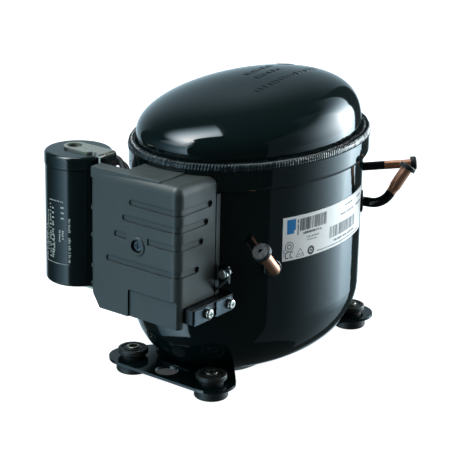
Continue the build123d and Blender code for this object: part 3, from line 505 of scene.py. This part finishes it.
def woven_sleeve():
    """A varnished braid over the lead."""
    braid = Finish("lead_sleeve", (0.012, 0.013, 0.014), 0.5)
    weave = braid.cells(1100.0)
    braid.bump(weave, 1.5e-4)
    braid.tint(braid.stretch(weave, 0.2, 0.6), (0.03, 0.032, 0.034))
    braid.vary_roughness(braid.noise(500.0, 3.0), 0.4, 0.65)
    return braid.material


def make_finishes():
    """Every finish by the record's slot name."""
    black_zinc = (0.11, 0.13, 0.14)
    return {
        "shell_enamel": enamel("shell_enamel"),
        "weld_enamel": weld_enamel(),
        "plate_enamel": enamel("plate_enamel", (0.002, 0.006, 0.006), 0.09),
        "tube_enamel": enamel("tube_enamel", (0.003, 0.006, 0.006), 0.12),
        "rubber": rubber("rubber", (0.009, 0.010, 0.009), (0.022, 0.019, 0.015), 0.5),
        "plug_rubber": rubber("plug_rubber", (0.004, 0.006, 0.006), (0.009, 0.011, 0.011), 0.5),
        "sleeve_steel": plated("sleeve_steel", (0.45, 0.43, 0.36), (0.30, 0.27, 0.2), 0.36),
        "copper": drawn_copper(),
        "cover_plastic": moulded("cover_plastic", (0.038, 0.045, 0.041), (0.046, 0.053, 0.048), 0.42),
        "clamp_plastic": moulded("clamp_plastic", (0.004, 0.007, 0.008), (0.007, 0.011, 0.012), 0.33),
        "relay_plastic": moulded("relay_plastic", (0.03, 0.03, 0.032), (0.045, 0.042, 0.04), 0.5),
        "seat_plastic": moulded("seat_plastic", (0.5, 0.48, 0.42), (0.42, 0.4, 0.34), 0.5),
        "muffler_plastic": moulded("muffler_plastic", (0.55, 0.53, 0.46), (0.48, 0.45, 0.38), 0.45),
        "clamp_steel": plated("clamp_steel", black_zinc, (0.07, 0.085, 0.095), 0.28),
        "screw_steel": plated("screw_steel", (0.86, 0.83, 0.77), (0.68, 0.65, 0.59), 0.22),
        "pin_steel": plated("pin_steel", (0.6, 0.6, 0.58), (0.45, 0.45, 0.43), 0.25),
        "zinc_steel": plated("zinc_steel", (0.62, 0.61, 0.47), (0.63, 0.50, 0.46), 0.27, (0.15, 1.0, 0.15)),
        "spring_steel": plated("spring_steel", (0.4, 0.39, 0.38), (0.3, 0.29, 0.27), 0.3),
        "reed_steel": plated("reed_steel", (0.5, 0.52, 0.55), (0.35, 0.4, 0.5), 0.2),
        "ground_steel": plated("ground_steel", (0.6, 0.6, 0.6), (0.5, 0.5, 0.5), 0.2, (1.0, 1.0, 0.1)),
        "pressed_steel": plated("pressed_steel", (0.45, 0.45, 0.46), (0.35, 0.35, 0.36), 0.35),
        "capacitor_black": capacitor_black(),
        "lead_sleeve": woven_sleeve(),
        "label": label_film(),
        "lamination": laminated("lamination", (0.34, 0.33, 0.32), (0.18, 0.17, 0.17)),
        "rotor_metal": laminated("rotor_metal", (0.5, 0.5, 0.5), (0.35, 0.35, 0.35)),
        "winding": wound_copper(),
        "cast_iron": cast_metal("cast_iron", (0.2, 0.2, 0.2), (0.12, 0.12, 0.12)),
        "cast_head": cast_metal("cast_head", (0.42, 0.42, 0.42), (0.32, 0.32, 0.32), 0.45),
        "gasket": printed("gasket", (0.22, 0.27, 0.22), (0.15, 0.19, 0.16), 0.8),
    }


def node_slots():
    """Each CAD node's material slot, as the record says."""
    return {part["node"]: part["material_slot"] for part in frame["record"]["subparts"]}


finishes = make_finishes()


def dress_nodes():
    """Gives every CAD node the finish of its slot; the box behind the cover is a darker plastic."""
    darker = moulded("box_plastic", (0.012, 0.017, 0.017), (0.018, 0.024, 0.024), 0.45)
    for name, slot in node_slots().items():
        mesh = nodes[name].data
        mesh.materials.clear()
        mesh.materials.append(darker if name == "terminal_box_base" else finishes[slot])


# ---------------------------------------------------------------- pieces
def add_piece(name, vertices, faces, slot, replaced=(), smooth=True, material=None):
    """Adds a mesh that rides on the shell, with its slot's finish unless a material is given, and hides the
    CAD nodes that it stands for.
    """
    mesh = bpy.data.meshes.new(name)
    mesh.from_pydata([tuple(v) for v in vertices], [], faces)
    mesh.validate()
    if smooth:
        mesh.shade_smooth()
    mesh.materials.append(material or finishes[slot])
    piece = bpy.data.objects.new(name, mesh)
    bpy.context.scene.collection.objects.link(piece)
    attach(piece, SHELL_BODY)
    if replaced:
        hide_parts(*replaced)
    return piece


# ---------------------------------------------------------------- welded shell
SHELL_Y = 1.3
DOME_A, DOME_B = 68.5, 95.0
DOME_LOW_Z, DOME_SPRING_Z, DOME_RISE = 150.0, 163.7, 32.7
DOME_POWER = 3.25
DOME_SLOPE = 0.106
DOME_LEAN = 5.6
DOME_WALL = 3.0


def dome_profile(count):
    """Shares of the half width and of the rise, from the dome's spring to its crown, evenly spaced."""
    turn = np.linspace(0.0, math.pi / 2, 4001)
    across = np.cos(turn) ** (2 / DOME_POWER)
    up = np.sin(turn) ** (2 / DOME_POWER)
    across[-1] = 0.0
    reach = np.concatenate(([0.0], np.cumsum(np.hypot(np.diff(across) * 80.0, np.diff(up) * DOME_RISE))))
    stations = np.linspace(0.0, reach[-1], count)
    return np.interp(stations, reach, across), np.interp(stations, reach, up)


def dome_point(across, up, angle, inset=0.0):
    """A point of the dome in metres; inset is how far inside the outer skin it lies."""
    rise = up * (DOME_RISE - inset)
    y = SHELL_Y - DOME_LEAN * up + (DOME_B - inset) * across * math.sin(angle)
    x = (DOME_A - inset) * across * math.cos(angle)
    return x * MM, y * MM, (DOME_SPRING_Z + rise + DOME_SLOPE * up * y) * MM


def make_dome():
    """The upper shell: an oval dome, flat on top and full at its shoulder, on a short straight wall."""
    around = 240
    rings = 84
    across, up = dome_profile(rings)
    angles = [2 * math.pi * j / around for j in range(around)]
    vertices = []
    for inset in (0.0, DOME_WALL):
        wall = []
        for z in np.linspace(DOME_LOW_Z, DOME_SPRING_Z, 5)[:-1]:
            wall.append([(x, y, z * MM) for x, y, _ in (dome_point(1.0, 0.0, t, inset) for t in angles)])
        cap = [[dome_point(across[i], up[i], t, inset) for t in angles] for i in range(rings - 1)]
        for ring in wall + cap:
            vertices.extend(ring)
    rows = len(wall + cap)
    per_skin = rows * around
    outer = grid_faces(rows, around)
    inner = [tuple(reversed(face)) for face in grid_faces(rows, around, per_skin)]
    faces = outer + inner
    for inset in (0, 1):
        crown = len(vertices)
        vertices.append(dome_point(0.0, 1.0, 0.0, DOME_WALL * inset))
        last = per_skin * inset + (rows - 1) * around
        for j in range(around):
            face = (last + j, last + (j + 1) % around, crown)
            faces.append(tuple(reversed(face)) if inset else face)
    for j in range(around):
        faces.append((j, per_skin + j, per_skin + (j + 1) % around, (j + 1) % around))
    add_piece("dome", vertices, faces, "shell_enamel", ("upper_shell",))


WELD_A, WELD_B, WELD_Z = 71.5, 97.8, 163.7
WELD_PITCH = 2.1
# The bead's section, from its inner foot over the top to its outer foot.
WELD_SIDES = (-1.0, -0.9, -0.4, 0.1, 0.45, 0.6, 1.0)
WELD_REACHES = (-3.0, -3.0, -1.9, 0.1, 1.7, 2.3, 3.35)
WELD_HEIGHTS = (-3.5, 0.0, 1.45, 1.85, 1.4, 0.75, -3.1)
SPATTER_COUNT = 90
RIM_REACH, WALL_REACH = 2.9, -2.9


def weld_spot(angle, z):
    """The point of the weld's centre line at an angle, and the level direction out of the shell there."""
    spot = Vector((WELD_A * math.cos(angle), SHELL_Y + WELD_B * math.sin(angle), z))
    normal = Vector((math.cos(angle) / WELD_A, math.sin(angle) / WELD_B, 0.0)).normalized()
    return spot, normal


def add_drop(vertices, faces, centre, size):
    """Adds a small closed ball of spatter to a mesh."""
    start = len(vertices)
    rows, columns = 5, 8
    for i in range(rows):
        rise = math.pi * (i / (rows - 1) - 0.5) * 0.96
        for j in range(columns):
            turn = 2 * math.pi * j / columns
            level = math.cos(rise)
            off = Vector((math.cos(turn) * level, math.sin(turn) * level, math.sin(rise)))
            vertices.append((centre + off * size) * MM)
    faces.extend(grid_faces(rows, columns, start))
    faces.append(tuple(start + j for j in reversed(range(columns))))
    faces.append(tuple(start + (rows - 1) * columns + j for j in range(columns)))


def bead_rows(chance):
    """The bead's points, section by section round the shell, with ripples of uneven strength."""
    around = 2200
    section = 18
    wander = [(chance.uniform(3, 34), chance.uniform(0, 6.28), chance.uniform(0.3, 1.0)) for _ in range(14)]
    strength = [(chance.uniform(0.16, 0.42), chance.uniform(0.04, 0.26)) for _ in range(600)]
    vertices = []
    length = 0.0
    before = None
    for i in range(around):
        angle = 2 * math.pi * i / around
        spot, normal = weld_spot(angle, 0.0)
        if before is not None:
            length += (spot - before).length
        before = spot
        drift = sum(math.sin(round(n) * angle + p) * s for n, p, s in wander) / 7.0
        for j in range(section):
            side = 2 * j / (section - 1) - 1
            phase = length / WELD_PITCH + 0.55 * side * side
            swell, scallop = strength[int(phase) % len(strength)]
            wave = math.sin(2 * math.pi * phase)
            reach = float(np.interp(side, WELD_SIDES, WELD_REACHES)) + 0.15 * drift
            height = WELD_Z + float(np.interp(side, WELD_SIDES, WELD_HEIGHTS))
            if abs(side) < 0.8:
                height += 0.28 * drift + wave * swell
            if side > 0.3:
                reach += scallop * wave * side
            vertices.append((spot + normal * reach + Vector((0, 0, height))) * MM)
    return vertices, [tuple(reversed(face)) for face in grid_faces(around, section, 0, True, True)]


def make_weld_bead():
    """The weld between dome and bowl: overlapping ripples, an uneven edge and a little spatter."""
    chance = random.Random(11)
    vertices, faces = bead_rows(chance)
    for _ in range(SPATTER_COUNT):
        angle = chance.uniform(0, 2 * math.pi)
        throw = chance.choice((-1, 1)) * chance.uniform(2.6, 5.2)
        size = chance.uniform(0.15, 0.42)
        if throw > 0:
            reach = RIM_REACH
            z = 160.2 - 3.0 * (throw - 2.6)
        else:
            reach = WALL_REACH
            z = 164.4 + chance.uniform(0.0, 1.2)
        spot, normal = weld_spot(angle, z)
        add_drop(vertices, faces, spot + normal * reach, size)
    add_piece("weld_ripple", vertices, faces, "weld_enamel", ("weld_bead",))


# ---------------------------------------------------------------- printing
LABEL_A, LABEL_B = 71.25, 96.45
LABEL_FRONT_ANGLE = math.radians(-28.7)
LABEL_LOW_Z, LABEL_HIGH_Z = 92.7, 123.7
INK_LIFT = 0.06


class Print:
    """Flat printed shapes laid on a curved surface; wrap turns (along, up, lift) in mm into a point."""

    def __init__(self, wrap, lift=INK_LIFT):
        self.wrap = wrap
        self.lift = lift
        self.vertices = []
        self.faces = []

    def patch(self, outline_low, outline_high, steps):
        """A strip between two curves, given as functions of a share from 0 to 1, with edges turned down."""
        start = len(self.vertices)
        rows = []
        for lift, pick in ((0.0, 0), (self.lift, 0), (self.lift, 1), (0.0, 1)):
            curve = (outline_low, outline_high)[pick]
            rows.append([self.wrap(*curve(i / steps), lift) for i in range(steps + 1)])
        for row in rows:
            self.vertices.extend(row)
        self.faces.extend(grid_faces(4, steps + 1, start, False))
        for i in (0, steps):
            end = [start + row * (steps + 1) + i for row in range(4)]
            self.faces.append(tuple(end if i else reversed(end)))

    def bar(self, along, up, width, height, slant=0.0):
        """A rectangle from its lower near corner."""
        steps = max(1, round(width / 1.5))
        self.patch(
            lambda t: (along + width * t, up),
            lambda t: (along + width * t + slant, up + height), steps)

    def ring(self, along, up, radius, inner):
        """A ring or, with inner 0, a disc."""
        def curve(r):
            return lambda t: (
                along + r * math.cos(math.radians(360.0 * t)),
                up + r * math.sin(math.radians(360.0 * t)))
        self.patch(curve(radius), curve(inner), 28)

    def line(self, from_spot, to_spot, width):
        """A straight stroke."""
        ax, ay = from_spot
        bx, by = to_spot
        reach = math.hypot(bx - ax, by - ay)
        nx, ny = -(by - ay) / reach * width / 2, (bx - ax) / reach * width / 2
        self.patch(
            lambda t: (ax + (bx - ax) * t - nx, ay + (by - ay) * t - ny),
            lambda t: (ax + (bx - ax) * t + nx, ay + (by - ay) * t + ny), max(1, round(reach / 2)))

    def dashes(self, along, up, length, height, chance, upright=False):
        """A row, or with upright a column, of short marks in place of a line of lettering."""
        done = 0.0
        while done < length:
            wide = height * chance.uniform(0.35, 0.75)
            tall = height * chance.choice((0.72, 1.0, 1.0))
            if upright:
                self.bar(along, up + done, tall, wide)
            else:
                self.bar(along + done, up, wide, tall)
            done += wide + height * chance.choice((0.22, 0.22, 0.22, 0.6))

    def add(self, name, slot, material):
        return add_piece(name, self.vertices, self.faces, slot, (), False, material)


def label_reach():
    """Angles and distances along the label, for turning a distance into an angle."""
    angles = np.linspace(LABEL_FRONT_ANGLE, LABEL_FRONT_ANGLE + 1.4, 3000)
    x = LABEL_A * np.cos(angles)
    y = LABEL_B * np.sin(angles)
    return angles, np.concatenate(([0.0], np.cumsum(np.hypot(np.diff(x), np.diff(y)))))


label_angles, label_distances = label_reach()


def on_label(along, up, lift):
    """A point over the label, along from its front edge and up from its lower edge."""
    angle = float(np.interp(along, label_distances, label_angles))
    return Vector((
        (LABEL_A + lift) * math.cos(angle), SHELL_Y + (LABEL_B + lift) * math.sin(angle),
        LABEL_LOW_Z + up)) * MM


def make_label_print():
    """Generic printing: a blue block, two bar patterns, rows of marks and four plain signs."""
    chance = random.Random(5)
    black = Print(on_label)
    bar_patterns = ((14.4, 40.6, 19.7, 28.5, 0.91), (44.6, 82.0, 7.5, 15.8, 0.97))
    for start, end, low, high, gap in bar_patterns:
        along = start
        while along < end:
            width = chance.choice((0.3, 0.3, 0.55, 0.55, 0.95))
            black.bar(along, low, width, high - low)
            along += width + chance.choice((0.35, 0.35, 0.7, 1.2)) * gap
    black.dashes(17.3, 16.9, 18.0, 1.7, chance)
    black.dashes(12.0, 17.2, 10.8, 1.1, chance, True)
    black.dashes(50.0, 4.1, 31.0, 1.6, chance)
    black.dashes(31.0, 1.6, 62.0, 0.75, chance)
    black.dashes(58.4, 21.0, 20.0, 1.1, chance)
    black.dashes(64.0, 26.4, 12.0, 1.0, chance)
    black.dashes(86.0, 26.4, 10.0, 1.0, chance)
    black.dashes(84.0, 21.0, 13.0, 1.1, chance)
    black.ring(5.6, 9.9, 3.5, 3.0)
    black.ring(5.6, 9.9, 1.9, 1.3)
    for along in (2.7, 6.4):
        black.line((along, 1.9), (along, 5.9), 0.6)
        black.line((along, 1.9), (along + 2.4, 1.9), 0.6)
        black.line((along, 5.9), (along + 2.4, 5.9), 0.6)
    black.ring(25.0, 3.9, 3.2, 1.6)
    black.ring(25.0, 3.9, 0.9, 0.0)
    black.add("label_print_black", "label", printed("ink_black", (0.035, 0.037, 0.045), (0.10, 0.10, 0.11)))
    grey = Print(on_label)
    corners = ((11.4, 1.5), (18.6, 1.5), (15.0, 7.4))
    for i in range(3):
        grey.line(corners[i], corners[(i + 1) % 3], 0.5)
    grey.dashes(13.0, 2.6, 4.2, 1.2, chance)
    grey.dashes(20.8, 13.6, 11.5, 1.2, chance)
    grey.dashes(20.8, 11.6, 9.0, 1.0, chance)
    grey.add("label_print_grey", "label", printed("ink_grey", (0.30, 0.30, 0.32), (0.42, 0.42, 0.44)))
    blue = Print(on_label)
    blue.bar(3.3, 21.3, 7.2, 7.9)
    blue.bar(3.3, 19.0, 5.9, 2.3)
    blue.dashes(0.9, 3.4, 5.0, 0.8, chance, True)
    blue.add("label_print_blue", "label", printed("ink_blue", (0.008, 0.19, 0.50), (0.012, 0.24, 0.57)))


def on_dome(along, up, lift):
    """A point over the dome's top: along runs towards +Y and up towards -X."""
    x, y = -up, along
    share = 1.0
    for _ in range(8):
        across = math.hypot(x / DOME_A, (y - SHELL_Y + DOME_LEAN * share) / DOME_B)
        share = (1 - across ** DOME_POWER) ** (1 / DOME_POWER)
    return Vector((x, y, DOME_SPRING_Z + share * DOME_RISE + DOME_SLOPE * share * y + lift - 0.05)) * MM


def make_dome_marks():
    """Faint raised marks pressed into the dome's top: three rows and a ring."""
    chance = random.Random(3)
    marks = Print(on_dome, 0.45)
    marks.dashes(17.5, 16.5, 30.0, 4.2, chance)
    marks.dashes(15.0, 5.0, 27.0, 4.2, chance)
    marks.dashes(-8.0, -12.0, 70.0, 5.0, chance)
    marks.ring(66.0, 19.0, 6.6, 5.0)
    marks.bar(63.5, 17.0, 1.4, 4.2)
    marks.bar(66.5, 17.0, 1.4, 4.2)
    marks.add("dome_marks", "shell_enamel", finishes["shell_enamel"])


CAN_X, CAN_Y, CAN_R = -67.0, -105.5, 22.8


def on_can(along, up, lift):
    """A point over the capacitor's can: along is an angle in degrees, up a height."""
    angle = math.radians(along)
    reach = CAN_R + lift
    return Vector((CAN_X + reach * math.cos(angle), CAN_Y + reach * math.sin(angle), up)) * MM


def make_can_print():
    """Pale columns of marks on the capacitor, read from the side, with a frame line under them."""
    chance = random.Random(8)
    degree = 1 / math.radians(1) / CAN_R
    pale = Print(on_can, 0.05)
    # Each column has its angle, its low and high ends, the height of its marks and the width of its gaps.
    columns = (
        (-118.0, 84.5, 110.0, 1.3, 1.8), (-112.5, 92.0, 121.0, 1.1, 1.8), (-106.0, 87.6, 125.3, 1.5, 1.7),
        (-100.0, 87.6, 125.3, 1.9, 1.7), (-96.0, 92.0, 104.0, 1.2, 1.0), (-66.0, 85.8, 104.0, 1.7, 1.0),
        (-66.0, 107.5, 117.0, 1.5, 1.0), (-84.0, 100.0, 108.0, 1.2, 1.0), (-78.0, 102.0, 107.5, 1.4, 1.0))
    for along, low, high, height, gap in columns:
        up = low
        while up < high:
            tall = height * chance.uniform(0.35, 0.8)
            pale.bar(along, up, height * chance.choice((0.75, 1.0)) * degree, tall)
            up += tall + height * chance.choice((0.2, 0.25, 0.7)) * gap
    for step in range(9):
        pale.bar(-106.0 + step * 3.6, 128.2 + 0.25 * math.sin(step * 0.4), 2.0, 0.9)
    for up in (116.5, 120.3, 124.1):
        pale.bar(-80.0, up, 6.4, 1.1)
    pale.bar(-117.0, 84.0, 52.0, 0.35)
    ink = printed("ink_pale", (0.50, 0.48, 0.41), (0.28, 0.28, 0.25), 0.5)
    pale.add("capacitor_print", "capacitor_black", ink)


def main():
    make_camera()
    make_studio()
    dress_nodes()
    make_dome()
    make_weld_bead()
    make_dome_marks()
    make_label_print()
    make_can_print()


main()
